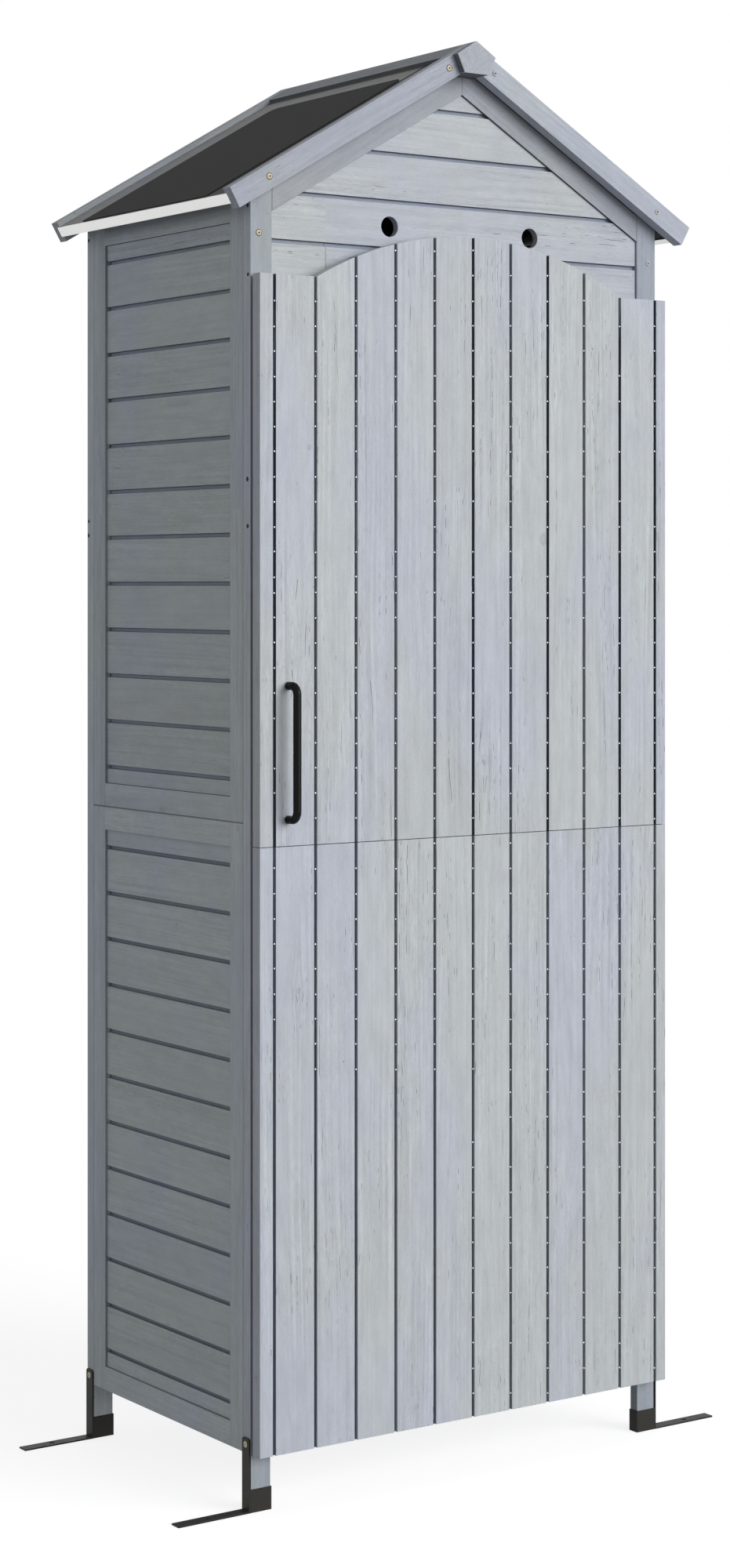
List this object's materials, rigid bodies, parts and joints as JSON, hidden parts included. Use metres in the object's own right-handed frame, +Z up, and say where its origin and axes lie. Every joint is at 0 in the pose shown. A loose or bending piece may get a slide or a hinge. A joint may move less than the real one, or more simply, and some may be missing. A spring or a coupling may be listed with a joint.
{
  "type": "garden storage cabinet",
  "caption": "Tall narrow timber garden cabinet with a pitched felted roof, one hinged arched door of upright slats, shelves inside and slotted ground brackets.",
  "frame": {"origin": "on the ground, under the middle of the overall box", "axes": "+X to the right facing the door, +Y from the door to the back, +Z up"},
  "size_m": [0.828, 0.4642, 1.786],
  "materials": {
    "painted_wood": "thin blue-grey stain, matt",
    "roof_felt": "fine mineral felt, matt",
    "drip_edge": "white, satin",
    "bracket_steel": "dark, satin",
    "foot_cap": "moulded, matt",
    "handle_paint": "black, satin",
    "zinc_steel": "zinc plated",
    "catch_plastic": "moulded, matt"
  },
  "bodies": {
    "cabinet": {"back_boards_lower": "painted_wood", "back_boards_upper": "painted_wood", "back_frame_lower": "painted_wood", "back_frame_upper": "painted_wood", "bargeboard_front_left": "painted_wood", "bargeboard_front_right": "painted_wood", "bargeboard_rear_left": "painted_wood", "bargeboard_rear_right": "painted_wood", "cleats": "painted_wood", "drip_edge_left": "drip_edge", "drip_edge_right": "drip_edge", "floor_boards": "painted_wood", "foot_cap_front_left": "foot_cap", "foot_cap_front_right": "foot_cap", "foot_cap_rear_left": "foot_cap", "foot_cap_rear_right": "foot_cap", "frame_screws": "zinc_steel", "gable_boards_front": "painted_wood", "gable_boards_rear": "painted_wood", "gable_rails_front": "painted_wood", "gable_rails_rear": "painted_wood", "ground_bracket_front_left": "bracket_steel", "ground_bracket_front_right": "bracket_steel", "ground_bracket_rear_left": "bracket_steel", "ground_bracket_rear_right": "bracket_steel", "header_rail": "painted_wood", "hinge_leaves_post": "zinc_steel", "hinge_pins": "zinc_steel", "hinge_screws_post": "zinc_steel", "magnetic_catches": "catch_plastic", "post_front_left": "painted_wood", "post_front_right": "painted_wood", "post_rear_left": "painted_wood", "post_rear_right": "painted_wood", "ridge_beam": "painted_wood", "roof_deck_left": "painted_wood", "roof_deck_right": "painted_wood", "roof_felt_left": "roof_felt", "roof_felt_right": "roof_felt", "shelf_boards_lower": "painted_wood", "shelf_boards_upper": "painted_wood", "side_boards_left_lower": "painted_wood", "side_boards_left_upper": "painted_wood", "side_boards_right_lower": "painted_wood", "side_boards_right_upper": "painted_wood", "side_frame_left_lower": "painted_wood", "side_frame_left_upper": "painted_wood", "side_frame_right_lower": "painted_wood", "side_frame_right_upper": "painted_wood", "sill_rail": "painted_wood", "vent_board": "painted_wood"},
    "door": {"door_ledges": "painted_wood", "door_slats_lower": "painted_wood", "door_slats_upper": "painted_wood", "handle": "handle_paint", "handle_screws": "zinc_steel", "hinge_leaves_door": "zinc_steel", "hinge_screws_door": "zinc_steel", "strike_plates": "zinc_steel"}
  },
  "joints": [
    {"name": "door_hinge", "type": "hinge", "parent": "cabinet", "child": "door", "pos_m": [0.3179, -0.1886, 0], "axis": [0, 0, 1], "range_deg": [0, 180]}
  ]
}
